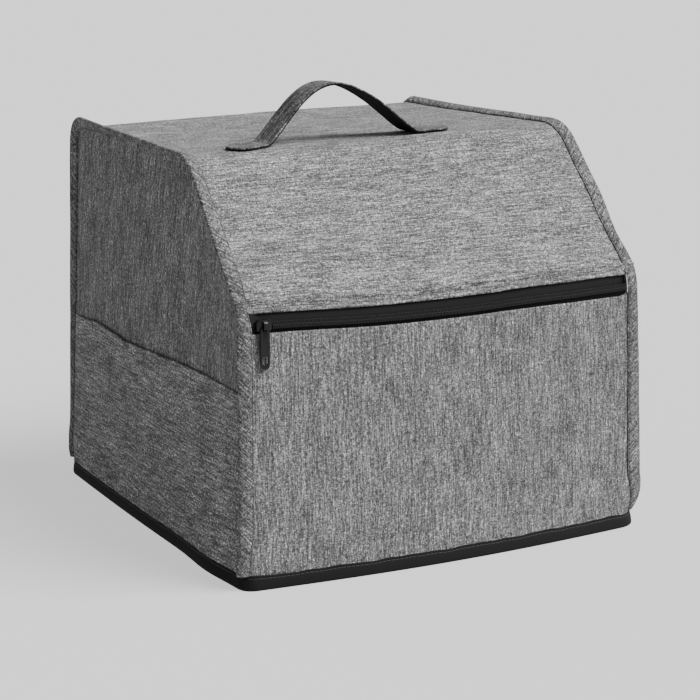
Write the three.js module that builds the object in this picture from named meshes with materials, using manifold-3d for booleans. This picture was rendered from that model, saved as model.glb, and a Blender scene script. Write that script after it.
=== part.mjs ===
// Overlock machine cover: a stiff cloth hood that stands on its bound hem.
// Millimetres, +Z up, the zipped front faces -Y, +X is on the right seen from the front.
// The origin is on the ground under the middle of the cover.
import * as THREE from "three";
import { mergeVertices } from "three/addons/utils/BufferGeometryUtils.js";
import Module from "manifold-3d";

const wasm = await Module();
wasm.setup();

// Middle of the whole cover in the frame of the tables below, which moves to the origin
const MIDDLE = { x: 1.1, y: 2.4 };

// Cloth thicknesses and the gap that neighbouring pieces keep
const PANEL = 1.2;
const BINDING = 1.0;
const TAPE = 1.0;
const GAP = 0.35;

// Hem binding, folded over the raw lower edge of every panel
const HEM_HEIGHT = 12;
const HEM_SLOT = PANEL / 2 + 0.6;
const HEM_OUT = HEM_SLOT + BINDING;
const PANEL_FOOT = 1.4;

// The corners of the plan are rounded at the hem and grow sharp above it
const ROUND_UNTIL = HEM_HEIGHT + 1;
const SHARP_FROM = 45;
const HALF_TURN_INSET = 1 - Math.SQRT1_2;

// Zip in the front, between the sloping panel and the lower front panel
const ZIP_TOP = 223;
const ZIP_BOTTOM = 206.7;
const CHAIN_MIDDLE = 213.6;
const CHAIN_HEIGHT = 6.4;
const CHAIN_THICK = 2.4;
const TAPE_TUCK = 7;
const ZIP_END = PANEL / 2 + GAP + 0.05;
const SLIDER_X = -169.2;

// Side pocket on the left: a straight strip of cloth, slack at its mouth
const POCKET_TOP = 156.5;
const POCKET_SLACK = 7;
const POCKET_INSET = 2.8;
const POCKET_OFF = PANEL + GAP + 0.25;

// Handle: flat webbing, stitched down at two rounded ends
const STRAP_WIDTH = 30;
const STRAP_THICK = 3;
const STRAP_Y = -42;

// The two bound side seams, from the back hem over the top to the front hem. ease is how far
// from the corner its rounding starts, steps the spans that lead to the row, turn the angle
// between the bound lip and the panel, lip the width of the binding, tuck how far the panel
// runs into it, and bow how far the cloth between the seams stands out (or sags, if negative).
const SEAM_LEFT = [
  { x: -186.5, y: 206, z: PANEL_FOOT, ease: 0, steps: 0, turn: 60, lip: 4.6, tuck: 0.4, bow: 4 },
  { x: -185.4, y: 205.6, z: 13, ease: 0, steps: 1, turn: 60, lip: 4.6, tuck: 0.4, bow: 4 },
  { x: -183.9, y: 205.1, z: 22, ease: 0, steps: 1, turn: 72, lip: 6.2, tuck: 4.2, bow: 4 },
  { x: -182.5, y: 204.6, z: 30, ease: 0, steps: 1, turn: 82, lip: 8, tuck: 6.7, bow: 4 },
  { x: -180, y: 203.5, z: 45, ease: 0, steps: 1, turn: 89, lip: 10, tuck: 8.7, bow: 4 },
  { x: -172.5, y: 188, z: 333.5, ease: 15, steps: 4, turn: 64, lip: 11, tuck: 9.7, bow: 1 },
  { x: -173, y: 105, z: 334, ease: 0, steps: 2, turn: 38, lip: 11, tuck: 9.7, bow: -1.5 },
  { x: -174, y: -81, z: 331.5, ease: 20, steps: 4, turn: 14, lip: 11, tuck: 9.7, bow: -1.5 },
  { x: -178, y: -189.5, z: 225, ease: 14, steps: 4, turn: 2, lip: 12, tuck: 10.7, bow: 6 },
  { x: -180.7, y: -192.5, z: 45, ease: 0, steps: 4, turn: 0, lip: 11, tuck: 9.7, bow: 9 },
  { x: -183.5, y: -192.7, z: 30, ease: 0, steps: 1, turn: 0, lip: 11, tuck: 9.7, bow: 9.5 },
  { x: -184.8, y: -192.8, z: 22, ease: 0, steps: 1, turn: 0, lip: 10.8, tuck: 9.5, bow: 10 },
  { x: -186.2, y: -192.9, z: 13, ease: 0, steps: 1, turn: 0, lip: 10.2, tuck: 0.4, bow: 10.5 },
  { x: -188, y: -193, z: PANEL_FOOT, ease: 0, steps: 1, turn: 0, lip: 10.2, tuck: 0.4, bow: 10.5 },
];
const SEAM_RIGHT = [
  { x: 189, y: 206, z: PANEL_FOOT, ease: 0, steps: 0, turn: 30, lip: 5, tuck: 0.4 },
  { x: 188, y: 205.6, z: 13, ease: 0, steps: 1, turn: 30, lip: 5, tuck: 0.4 },
  { x: 186.9, y: 205, z: 22, ease: 0, steps: 1, turn: 30, lip: 8, tuck: 6.7 },
  { x: 186, y: 204.6, z: 30, ease: 0, steps: 1, turn: 30, lip: 10, tuck: 8.7 },
  { x: 184, y: 203.5, z: 45, ease: 0, steps: 1, turn: 30, lip: 11, tuck: 9.7 },
  { x: 172.5, y: 188, z: 342, ease: 15, steps: 4, turn: 30, lip: 11, tuck: 9.7 },
  { x: 173.5, y: 105, z: 341, ease: 0, steps: 2, turn: 22, lip: 11, tuck: 9.7 },
  { x: 174.5, y: -83, z: 342.5, ease: 20, steps: 4, turn: 14, lip: 12, tuck: 10.7 },
  { x: 180, y: -189.5, z: 225, ease: 14, steps: 4, turn: 6, lip: 13, tuck: 11.7 },
  { x: 184.4, y: -193.5, z: 45, ease: 0, steps: 4, turn: 0, lip: 11.4, tuck: 10.1 },
  { x: 187.6, y: -195.5, z: 30, ease: 0, steps: 1, turn: 0, lip: 9.6, tuck: 8.3 },
  { x: 189.3, y: -196.6, z: 22, ease: 0, steps: 1, turn: 0, lip: 8.6, tuck: 7.3 },
  { x: 191.2, y: -197.8, z: 13, ease: 0, steps: 1, turn: 0, lip: 4, tuck: 0.4 },
  { x: 193, y: -199, z: PANEL_FOOT, ease: 0, steps: 1, turn: 0, lip: 4, tuck: 0.4 },
];
const CORNER_ROUND = { leftBack: 27, leftFront: 8, rightBack: 20, rightFront: 20 };
const SIDE_BOW = 3;

// The arch of the handle: height of the strap's underside above the cover's top, and how far
// its left end drifts to the front
const HANDLE_ARCH = [
  { x: -134, lift: 0, drift: -13 },
  { x: -116, lift: 0, drift: -10 },
  { x: -99, lift: 0.3, drift: -4 },
  { x: -88, lift: 8 },
  { x: -75, lift: 22.5 },
  { x: -62, lift: 35.5 },
  { x: -50, lift: 43.5 },
  { x: -38, lift: 47 },
  { x: -25, lift: 46.3 },
  { x: -13, lift: 42.5 },
  { x: 0, lift: 35.8 },
  { x: 14, lift: 26.5 },
  { x: 28, lift: 15.5 },
  { x: 39, lift: 6.5 },
  { x: 48, lift: 0.8 },
  { x: 62, lift: 0 },
  { x: 85, lift: 0 },
];

const CLOTH = { color: 0x7d7d7d, roughness: 0.95, metalness: 0 };
const BLACK_CLOTH = { color: 0x1c1c1d, roughness: 0.8, metalness: 0 };
const NYLON = { color: 0x101011, roughness: 0.5, metalness: 0 };
const BLACK_METAL = { color: 0x0b0b0c, roughness: 0.35, metalness: 0.8 };

// Closed solids from rings of points: each ring joins the next, and the end rings are capped
function solidFromRings(rings, closedLoop = false) {
  const size = rings[0].length;
  const positions = rings.flat().flatMap((p) => [p.x, p.y, p.z]);
  const faces = [];
  const last = closedLoop ? rings.length : rings.length - 1;
  for (let i = 0; i < last; i++) {
    const next = (i + 1) % rings.length;
    for (let j = 0; j < size; j++) {
      const k = (j + 1) % size;
      const [a, b, c, d] = [i * size + j, i * size + k, next * size + k, next * size + j];
      faces.push(a, b, c, a, c, d);
    }
  }
  if (!closedLoop) {
    const flat = sectionTriangles(rings[0]);
    const end = (rings.length - 1) * size;
    for (const [a, b, c] of flat) faces.push(a, c, b, end + a, end + b, end + c);
  }
  return outwardGeometry(positions, faces);
}

// Triangles that fill one ring, found in the plane where the ring is largest
function sectionTriangles(ring) {
  const normal = new THREE.Vector3();
  ring.forEach((p, i) => normal.add(p.clone().cross(ring[(i + 1) % ring.length])));
  const across = ring[1].clone().sub(ring[0]).normalize();
  const up = normal.clone().normalize().cross(across);
  const outline = ring.map((p) => new THREE.Vector2(p.dot(across), p.dot(up)));
  return THREE.ShapeUtils.triangulateShape(outline, []);
}

// An indexed geometry whose faces point out, turned round if its volume comes out negative
function outwardGeometry(positions, faces) {
  const corner = (i) => new THREE.Vector3().fromArray(positions, 3 * i);
  let volume = 0;
  for (let i = 0; i < faces.length; i += 3) {
    volume += corner(faces[i]).dot(corner(faces[i + 1]).cross(corner(faces[i + 2])));
  }
  const geometry = new THREE.BufferGeometry();
  geometry.setAttribute("position", new THREE.Float32BufferAttribute(positions, 3));
  geometry.setIndex(volume < 0 ? faces.reverse() : faces);
  return geometry;
}

// A sheet of cloth: a grid of points in its middle, thickened along the grid's normals
function sheetSolid(grid, thickness) {
  const rows = grid.length;
  const columns = grid[0].length;
  const at = (i, j) => grid[Math.min(Math.max(i, 0), rows - 1)][Math.min(Math.max(j, 0), columns - 1)];
  const normalAt = (i, j) => {
    const along = at(i + 1, j).clone().sub(at(i - 1, j)).normalize();
    const across = at(i, j + 1).clone().sub(at(i, j - 1)).normalize();
    return along.cross(across).normalize();
  };
  const positions = [];
  for (const side of [0.5, -0.5]) {
    for (let i = 0; i < rows; i++) {
      for (let j = 0; j < columns; j++) {
        const p = grid[i][j].clone().addScaledVector(normalAt(i, j), side * thickness);
        positions.push(p.x, p.y, p.z);
      }
    }
  }
  const index = (layer, i, j) => layer * rows * columns + i * columns + j;
  const faces = [];
  const quad = (a, b, c, d) => faces.push(a, b, c, a, c, d);
  for (let i = 0; i < rows - 1; i++) {
    for (let j = 0; j < columns - 1; j++) {
      quad(index(0, i, j), index(0, i + 1, j), index(0, i + 1, j + 1), index(0, i, j + 1));
      quad(index(1, i, j), index(1, i, j + 1), index(1, i + 1, j + 1), index(1, i + 1, j));
    }
  }
  for (let i = 0; i < rows - 1; i++) {
    const end = columns - 1;
    quad(index(0, i, 0), index(1, i, 0), index(1, i + 1, 0), index(0, i + 1, 0));
    quad(index(0, i + 1, end), index(1, i + 1, end), index(1, i, end), index(0, i, end));
  }
  for (let j = 0; j < columns - 1; j++) {
    const end = rows - 1;
    quad(index(0, 0, j + 1), index(1, 0, j + 1), index(1, 0, j), index(0, 0, j));
    quad(index(0, end, j), index(1, end, j), index(1, end, j + 1), index(0, end, j + 1));
  }
  return outwardGeometry(positions, faces);
}

const mix = (a, b, t) => a + (b - a) * t;
const bump = (t) => Math.sin(Math.PI * Math.min(Math.max(t, 0), 1));

// The share of a hem corner's rounding that is left at a height
function roundShare(z) {
  const fade = (SHARP_FROM - z) / (SHARP_FROM - ROUND_UNTIL);
  return Math.min(Math.max(fade, 0), 1) ** 2;
}

// How far a panel stands outside the line between its two seams, which both run through the
// middle of a rounded corner: nothing at the seam, all of it where the corner's arc ends
function cornerSwell(width, share, roundA, roundB, z) {
  const ramp = (reach) => {
    const left = Math.max(Math.SQRT1_2 - reach, 0);
    return 1 - (1 - Math.sqrt(1 - left * left)) / HALF_TURN_INSET;
  };
  const a = (1 - share) * roundA * ramp((share * width) / roundA);
  const b = share * roundB * ramp(((1 - share) * width) / roundB);
  return roundShare(z) * HALF_TURN_INSET * (a + b);
}

// One side seam as stations, with rounded corners where its rows ease
function seamRun(rows, side, backRound, frontRound) {
  const spot = (row) => new THREE.Vector3(row.x, row.y, row.z);
  const toward = (from, to, reach) => spot(from).add(spot(to).sub(spot(from)).setLength(reach));
  const run = [];
  const add = (p, a, b, t) => {
    const station = { p, side };
    for (const key of ["turn", "lip", "tuck", "bow"]) station[key] = mix(a[key] ?? 0, b[key] ?? 0, t);
    run.push(station);
  };
  const bends = 4;
  let start = spot(rows[0]);
  rows.forEach((row, i) => {
    const before = rows[i - 1] ?? row;
    const after = rows[i + 1];
    const end = row.ease ? toward(row, before, row.ease) : spot(row);
    for (let k = 1; k <= row.steps; k++) {
      add(start.clone().lerp(end, k / row.steps), before, row, k / row.steps);
    }
    if (i === 0) add(start, row, row, 0);
    start = end;
    if (row.ease) {
      const out = toward(row, after, row.ease);
      const arc = new THREE.QuadraticBezierCurve3(end, spot(row), out);
      for (let k = 1; k <= bends; k++) add(arc.getPoint(k / bends), row, row, 0);
      start = out;
    }
  });
  for (const station of run) {
    const round = station.p.y > 0 ? backRound : frontRound;
    const inset = HALF_TURN_INSET * round * roundShare(station.p.z);
    station.p.x -= side * inset;
    station.p.y -= Math.sign(station.p.y) * inset;
  }
  run.forEach((station, i) => {
    const along = run[Math.min(i + 1, run.length - 1)].p.clone().sub(run[Math.max(i - 1, 0)].p);
    station.out = new THREE.Vector3(0, along.z, -along.y).normalize();
    const turn = THREE.MathUtils.degToRad(station.turn);
    const [cos, sin] = [Math.cos(turn), Math.sin(turn)];
    station.lipWay = new THREE.Vector3(side * cos, 0, 0).addScaledVector(station.out, sin);
    station.lipOut = new THREE.Vector3(-side * sin, 0, 0).addScaledVector(station.out, cos);
  });
  return run;
}

// The parts of a run above and below a height, on its way down at the run's end
function cutAtHeight(run, z) {
  let i = run.length - 1;
  while (run[i - 1].p.z <= z) i--;
  const [a, b] = [run[i - 1], run[i]];
  const t = (a.p.z - z) / (a.p.z - b.p.z);
  const cut = { ...b };
  for (const key of ["turn", "lip", "tuck", "bow"]) cut[key] = mix(a[key], b[key], t);
  for (const key of ["p", "out", "lipWay", "lipOut"]) cut[key] = a[key].clone().lerp(b[key], t);
  return [[...run.slice(0, i), cut], [cut, ...run.slice(i)]];
}

const leftRun = seamRun(SEAM_LEFT, -1, CORNER_ROUND.leftBack, CORNER_ROUND.leftFront);
const rightRun = seamRun(SEAM_RIGHT, 1, CORNER_ROUND.rightBack, CORNER_ROUND.rightFront);

// Where the columns of a panel lie between its seams: close together near the corners
const COLUMNS = [0, 0.012, 0.035, 0.075, 0.19, 0.33, 0.5, 0.67, 0.81, 0.925, 0.965, 0.988, 1];

// A point of the wrapping cloth between two stations of the seams, share of the way across
function clothPoint(left, right, share, inward = 0) {
  const p = left.p.clone().lerp(right.p, share);
  const out = left.out.clone().lerp(right.out, share).normalize();
  const width = right.p.x - left.p.x;
  const rounds = p.y > 0
    ? [CORNER_ROUND.leftBack, CORNER_ROUND.rightBack]
    : [CORNER_ROUND.leftFront, CORNER_ROUND.rightFront];
  const swell = cornerSwell(width, share, ...rounds, p.z);
  return p.addScaledVector(out, left.bow * bump(share) + swell - inward);
}

// A panel of the wrapping cloth, its side edges turned out into the bindings
function wrapGrid(left, right) {
  return left.map((station, i) => {
    const other = right[i];
    const row = COLUMNS.map((share) => clothPoint(station, other, share));
    row.unshift(station.p.clone().addScaledVector(station.lipWay, station.tuck));
    row.push(other.p.clone().addScaledVector(other.lipWay, other.tuck));
    return row;
  });
}

// A strip of the zip, behind or before the cloth, between two heights and the two side panels
function zipStrip(topZ, bottomZ, depth, thickness, fromX = -Infinity) {
  const columns = 10;
  const pick = (run) => cutAtHeight(cutAtHeight(run, bottomZ)[0], topZ)[1];
  const [left, right] = [pick(leftRun), pick(rightRun)];
  const grid = left.map((station, i) => {
    const width = right[i].p.x - station.p.x;
    const first = Math.max(ZIP_END, fromX - station.p.x) / width;
    const last = 1 - ZIP_END / width;
    return Array.from({ length: columns + 1 }, (_, k) => {
      return clothPoint(station, right[i], mix(first, last, k / columns), depth);
    });
  });
  return sheetSolid(grid, thickness);
}

// A side panel: the space inside one seam run, filled from its four edges. The same number of
// spans runs up its back and its front edge, at the same heights.
function sidePanelGrid(run) {
  const uprights = 8;
  const inset = PANEL / 2 + GAP;
  const edge = run.map((s) => s.p.clone().addScaledVector(s.out, -inset));
  edge.forEach((p) => { p.z = Math.max(p.z, PANEL_FOOT); });
  const back = edge.slice(0, uprights + 1);
  const top = edge.slice(uprights, edge.length - uprights);
  const front = edge.slice(edge.length - uprights - 1).reverse();
  const lengths = [0];
  for (let i = 1; i < top.length; i++) lengths.push(lengths[i - 1] + top[i].distanceTo(top[i - 1]));
  const shares = lengths.map((length) => length / lengths.at(-1));
  const side = run[0].side;
  const [roundBack, roundFront] = side < 0
    ? [CORNER_ROUND.leftBack, CORNER_ROUND.leftFront]
    : [CORNER_ROUND.rightBack, CORNER_ROUND.rightFront];
  const depth = back[0].y - front[0].y;
  return back.map(({ z }, i) => {
    const rise = (z - back[0].z) / (back.at(-1).z - back[0].z);
    return shares.map((share, j) => {
      const chord = back.at(-1).clone().lerp(front.at(-1), share);
      const p = back[i].clone().lerp(front[i], share);
      p.addScaledVector(top[j], rise).addScaledVector(chord, -rise);
      const swell = cornerSwell(depth, share, roundBack, roundFront, p.z);
      p.x += side * (swell + SIDE_BOW * bump(share) * (1 - rise * rise));
      return p;
    });
  });
}

// The U of a side binding, folded over the lip of a seam: reach from the seam, height off the lip
function bindingSolid(run) {
  const half = PANEL / 2 + GAP;
  const outer = half + BINDING;
  const fold = 0.6;
  const insideFrom = 3.2;
  const foot = HEM_HEIGHT + 0.6;
  const trimmed = cutAtHeight(cutAtHeight(run, foot)[0].reverse(), foot)[0].reverse();
  return solidFromRings(trimmed.map(({ p, turn, lip, lipWay, lipOut }) => {
    const outsideFrom = 0.25 + outer * Math.tan(THREE.MathUtils.degToRad(turn) / 2);
    const inner = Math.min(insideFrom, lip - BINDING - 0.2);
    const section = [
      [outsideFrom, outer], [lip - fold, outer], [lip, outer - fold], [lip, fold - outer],
      [lip - fold, -outer], [inner, -outer], [inner, -half], [lip - BINDING, -half],
      [lip - BINDING, half], [outsideFrom, half],
    ];
    return section.map(([reach, height]) => {
      return p.clone().addScaledVector(lipWay, reach).addScaledVector(lipOut, height);
    });
  }));
}

// The hem binding: a U round all four lower edges, leaning as the panels above it lean
function hemSolid(rowLow, rowHigh) {
  const count = rowLow.length;
  const bevel = 0.6;
  const section = [
    [HEM_OUT, HEM_HEIGHT], [HEM_OUT, bevel], [HEM_OUT - bevel, 0], [bevel - HEM_OUT, 0],
    [-HEM_OUT, bevel], [-HEM_OUT, HEM_HEIGHT - 1], [-HEM_SLOT, HEM_HEIGHT - 1],
    [-HEM_SLOT, BINDING], [HEM_SLOT, BINDING], [HEM_SLOT, HEM_HEIGHT],
  ];
  return solidFromRings(rowLow.map((low, i) => {
    const along = rowLow[(i + 1) % count].clone().sub(rowLow[(i + count - 1) % count]).setZ(0);
    const out = new THREE.Vector3(along.y, -along.x, 0).normalize();
    const lean = rowHigh[i].clone().sub(low);
    lean.divideScalar(lean.z).setZ(0);
    return section.map(([reach, height]) => {
      const p = low.clone().addScaledVector(lean, height - low.z).addScaledVector(out, reach);
      return p.setZ(height);
    });
  }), true);
}

// The handle: webbing in an arch, with flat rounded ends that lie on the cover's top
function handleGrid(topHeight) {
  const arch = new THREE.CatmullRomCurve3(
    HANDLE_ARCH.map(({ x, lift, drift = 0 }) => new THREE.Vector3(x, STRAP_Y + drift, lift)),
    false, "centripetal");
  const spans = 44;
  const tip = 4;
  const first = HANDLE_ARCH[0].x;
  const last = HANDLE_ARCH.at(-1).x;
  const grid = [];
  for (let i = 0; i <= spans; i++) {
    const middle = arch.getPoint(i / spans);
    const toEnd = Math.min(middle.x - first, last - middle.x);
    const half = STRAP_WIDTH / 2;
    const free = Math.max(half - toEnd, 0);
    const reach = Math.max(Math.sqrt(half * half - free * free), tip);
    grid.push([-1, -0.5, 0, 0.5, 1].map((across) => {
      const y = middle.y + across * reach;
      const ground = topHeight(middle.x, y) + PANEL / 2 + GAP + STRAP_THICK / 2;
      return new THREE.Vector3(middle.x, y, ground + Math.max(middle.z, 0));
    }));
  }
  return grid;
}

// Height of the cloth's middle on the top of the cover
function topHeight(x, y) {
  const aboveAllWalls = 300;
  const onTop = (run) => {
    const i = run.findIndex(({ p }) => p.z > aboveAllWalls && p.y < y);
    const [a, b] = [run[i - 1], run[i]];
    const t = (a.p.y - y) / (a.p.y - b.p.y);
    return { spot: a.p.clone().lerp(b.p, t), bow: mix(a.bow, b.bow, t) };
  };
  const [left, right] = [onTop(leftRun), onTop(rightRun)];
  const share = (x - left.spot.x) / (right.spot.x - left.spot.x);
  return mix(left.spot.z, right.spot.z, share) + left.bow * bump(share);
}

// A point some way along a line of points
function pointAlong(line, length) {
  let i = 1;
  let left = length;
  while (i < line.length - 1 && left > line[i].distanceTo(line[i - 1])) {
    left -= line[i].distanceTo(line[i - 1]);
    i++;
  }
  return line[i - 1].clone().lerp(line[i], left / line[i].distanceTo(line[i - 1]));
}

// The line of a grid's points at one height
function levelLine(grid, z) {
  return grid[0].map((_, j) => {
    const k = grid.findIndex((row) => row[j].z >= z);
    const [a, b] = [grid[k - 1][j], grid[k][j]];
    return a.clone().lerp(b, (z - a.z) / (b.z - a.z));
  });
}

// The side pocket follows the left panel, then stands off it towards its mouth
const POCKET_COLUMNS = [
  0, 0.008, 0.018, 0.03, 0.045, 0.07, 0.12, 0.22, 0.34, 0.46, 0.58, 0.7, 0.82, 0.91, 0.96, 0.98, 0.99, 1,
];
const POCKET_LEVELS = [HEM_HEIGHT + GAP, 22, 30, SHARP_FROM, 75, 105, 132, POCKET_TOP];
function pocketGrid(panel) {
  const step = 0.5;
  return POCKET_LEVELS.map((z) => {
    const rise = (z - POCKET_LEVELS[0]) / (POCKET_TOP - POCKET_LEVELS[0]);
    const line = levelLine(panel, z);
    const length = line.reduce((sum, p, j) => sum + (j ? p.distanceTo(line[j - 1]) : 0), 0);
    return POCKET_COLUMNS.map((share) => {
      const reach = mix(POCKET_INSET, length - POCKET_INSET, share);
      const along = pointAlong(line, reach + step).sub(pointAlong(line, reach - step));
      const out = new THREE.Vector3(along.y, -along.x, 0).normalize();
      const slack = POCKET_SLACK * rise ** 0.6 * bump(share ** 0.75);
      return pointAlong(line, reach).addScaledVector(out, POCKET_OFF + slack);
    });
  });
}

// Solids of plain geometries are joined where one piece has several shapes
function toManifold(geometry) {
  const bare = geometry.clone();
  bare.deleteAttribute("normal");
  bare.deleteAttribute("uv");
  const merged = mergeVertices(bare);
  return new wasm.Manifold(new wasm.Mesh({
    numProp: 3,
    vertProperties: new Float32Array(merged.attributes.position.array),
    triVerts: new Uint32Array(merged.index.array),
  }));
}

function joined(first, second) {
  const mesh = toManifold(first).add(toManifold(second)).getMesh();
  const geometry = new THREE.BufferGeometry();
  geometry.setAttribute("position", new THREE.BufferAttribute(mesh.vertProperties, 3));
  geometry.setIndex(new THREE.BufferAttribute(mesh.triVerts, 1));
  return geometry;
}

// A rounded bar outline, longer along the second axis
function barShape(width, length, round) {
  const shape = new THREE.Shape();
  const [w, l] = [width / 2, length / 2];
  shape.moveTo(-w + round, -l);
  shape.lineTo(w - round, -l);
  shape.absarc(w - round, -l + round, round, -Math.PI / 2, 0);
  shape.absarc(w - round, l - round, round, 0, Math.PI / 2);
  shape.absarc(-w + round, l - round, round, Math.PI / 2, Math.PI);
  shape.absarc(-w + round, -l + round, round, Math.PI, Math.PI * 1.5);
  return shape;
}

// Zip slider: a body round the end of the chain, and a bridge that the pull hangs from.
// Its own frame has X along the zip, Y up and Z out of the cloth.
const SLIDER = {
  long: 13, high: 8.6, round: 2, thick: 3, sunk: 0.1,
  bridgeWide: 3.2, bridgeHigh: 7, bridgeOut: 3.4, bar: 1.1, chamfer: 1, root: 1,
};
const CURVE_STEPS = 4;
function sliderSolid() {
  const { high, long, round, thick, bridgeWide, bridgeOut, bar, chamfer, root } = SLIDER;
  const body = new THREE.ExtrudeGeometry(barShape(long, high, round), {
    depth: thick, bevelEnabled: false, curveSegments: CURVE_STEPS,
  });
  const half = SLIDER.bridgeHigh / 2;
  const inner = half - bar;
  const points = (list) => list.map(([x, y]) => new THREE.Vector2(x, y));
  const arch = new THREE.Shape(points([
    [-half, -root], [half, -root], [half, bridgeOut - chamfer], [half - chamfer, bridgeOut],
    [chamfer - half, bridgeOut], [-half, bridgeOut - chamfer],
  ]));
  arch.holes.push(new THREE.Path(points([
    [-inner, 0.1], [-inner, bridgeOut - bar], [inner, bridgeOut - bar], [inner, 0.1],
  ])));
  const bridge = new THREE.ExtrudeGeometry(arch, { depth: bridgeWide, bevelEnabled: false });
  bridge.applyMatrix4(new THREE.Matrix4().makeBasis(
    new THREE.Vector3(0, 1, 0), new THREE.Vector3(0, 0, 1), new THREE.Vector3(1, 0, 0)));
  bridge.translate(-bridgeWide / 2, 0, thick);
  return joined(body, bridge);
}

// Pull tab: a flat tongue with an eye for the bridge above and an oval grip hole below
const PULL = {
  wide: 8, long: 34, round: 3.6, thick: 1.1,
  eyeWide: 4.2, eyeHigh: 2.4, eyeDrop: 2.7, gripWide: 4.8, gripHigh: 8.6, gripUp: 7,
};
function pullSolid() {
  const tab = barShape(PULL.wide, PULL.long, PULL.round);
  const hole = (width, height, middle) => {
    const almostRound = Math.min(width, height) / 2 - 0.05;
    const points = barShape(width, height, almostRound).getPoints(CURVE_STEPS);
    tab.holes.push(new THREE.Path(points.map((p) => new THREE.Vector2(p.x, p.y + middle)).reverse()));
  };
  hole(PULL.eyeWide, PULL.eyeHigh, PULL.long / 2 - PULL.eyeDrop);
  hole(PULL.gripWide, PULL.gripHigh, PULL.gripUp - PULL.long / 2);
  return new THREE.ExtrudeGeometry(tab, {
    depth: PULL.thick, bevelEnabled: false, curveSegments: CURVE_STEPS,
  });
}

const cover = new THREE.Group();
cover.position.set(-MIDDLE.x, -MIDDLE.y, 0);
function piece(name, geometry, look) {
  geometry.computeVertexNormals();
  const mesh = new THREE.Mesh(geometry, new THREE.MeshStandardMaterial(look));
  mesh.name = name;
  cover.add(mesh);
  return mesh;
}

// Panels
const [leftAbove, leftBelow] = [cutAtHeight(leftRun, ZIP_TOP)[0], cutAtHeight(leftRun, ZIP_BOTTOM)[1]];
const [rightAbove, rightBelow] = [cutAtHeight(rightRun, ZIP_TOP)[0], cutAtHeight(rightRun, ZIP_BOTTOM)[1]];
const leftSide = sidePanelGrid(leftRun);
const rightSide = sidePanelGrid(rightRun);
const backAndTop = wrapGrid(leftAbove, rightAbove);
const lowerFront = wrapGrid(leftBelow, rightBelow);
piece("wrap_panel", sheetSolid(backAndTop, PANEL), CLOTH);
piece("front_panel", sheetSolid(lowerFront, PANEL), CLOTH);
piece("side_panel_left", sheetSolid(leftSide, PANEL), CLOTH);
piece("side_panel_right", sheetSolid(rightSide, PANEL), CLOTH);
piece("side_pocket", sheetSolid(pocketGrid(leftSide), PANEL), CLOTH);

// Bindings
piece("side_binding_left", bindingSolid(leftRun), CLOTH);
piece("side_binding_right", bindingSolid(rightRun), CLOTH);
const trimmedRow = (row) => row.slice(1, -1);
const hemLine = (level) => [
  ...trimmedRow(lowerFront.at(-1 - level)),
  ...rightSide[level].slice(1, -1).reverse(),
  ...trimmedRow(backAndTop[level]).reverse(),
  ...leftSide[level].slice(1, -1),
];
piece("hem_binding", hemSolid(hemLine(0), hemLine(1)), BLACK_CLOTH);

// Zip
const tapeDepth = PANEL / 2 + GAP + TAPE / 2;
const chainDepth = PANEL / 2 - CHAIN_THICK / 2;
const tapeMeet = 0.4;
piece("zip_tape_upper", zipStrip(
  ZIP_TOP + TAPE_TUCK, CHAIN_MIDDLE + tapeMeet, tapeDepth, TAPE), BLACK_CLOTH);
piece("zip_tape_lower", zipStrip(
  CHAIN_MIDDLE - tapeMeet, ZIP_BOTTOM - TAPE_TUCK, tapeDepth, TAPE), BLACK_CLOTH);
piece("zip_chain", zipStrip(
  CHAIN_MIDDLE + CHAIN_HEIGHT / 2, CHAIN_MIDDLE - CHAIN_HEIGHT / 2, chainDepth, CHAIN_THICK,
  SLIDER_X + SLIDER.long / 2 + GAP), NYLON);

const atZip = cutAtHeight(leftRun, CHAIN_MIDDLE)[0].at(-1);
const atZipRight = cutAtHeight(rightRun, CHAIN_MIDDLE)[0].at(-1);
const sliderShare = (SLIDER_X - atZip.p.x) / (atZipRight.p.x - atZip.p.x);
const sliderSpot = clothPoint(atZip, atZipRight, sliderShare, SLIDER.sunk);
const slider = piece("zip_slider", sliderSolid(), BLACK_METAL);
slider.rotation.x = Math.PI / 2;
slider.position.copy(sliderSpot);
const pull = piece("zip_pull", pullSolid(), BLACK_METAL);
pull.rotation.x = Math.PI / 2;
const bridgeBottom = SLIDER.bridgeHigh / 2 - SLIDER.bar;
pull.position.set(
  SLIDER_X, sliderSpot.y - SLIDER.thick - GAP,
  sliderSpot.z - bridgeBottom + GAP + PULL.eyeDrop - PULL.eyeHigh / 2 - PULL.long / 2);

// Handle
piece("handle", sheetSolid(handleGrid(topHeight), STRAP_THICK), CLOTH);

export default cover;
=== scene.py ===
from math import cos, pi, radians, sin, sqrt

import bpy
import numpy as np
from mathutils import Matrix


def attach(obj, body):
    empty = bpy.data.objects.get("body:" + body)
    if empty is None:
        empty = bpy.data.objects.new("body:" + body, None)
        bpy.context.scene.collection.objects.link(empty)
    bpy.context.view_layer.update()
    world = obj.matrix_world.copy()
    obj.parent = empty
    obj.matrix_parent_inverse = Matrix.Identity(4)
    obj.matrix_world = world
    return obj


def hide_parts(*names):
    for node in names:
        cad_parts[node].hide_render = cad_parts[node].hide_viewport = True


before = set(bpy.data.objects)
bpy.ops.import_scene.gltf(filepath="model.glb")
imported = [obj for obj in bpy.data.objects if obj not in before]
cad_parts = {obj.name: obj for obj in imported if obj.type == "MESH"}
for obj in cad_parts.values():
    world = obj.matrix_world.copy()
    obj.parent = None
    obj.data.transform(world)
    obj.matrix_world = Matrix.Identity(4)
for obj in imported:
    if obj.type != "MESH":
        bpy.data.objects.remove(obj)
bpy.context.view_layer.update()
bpy.ops.object.select_all(action="DESELECT")

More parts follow.
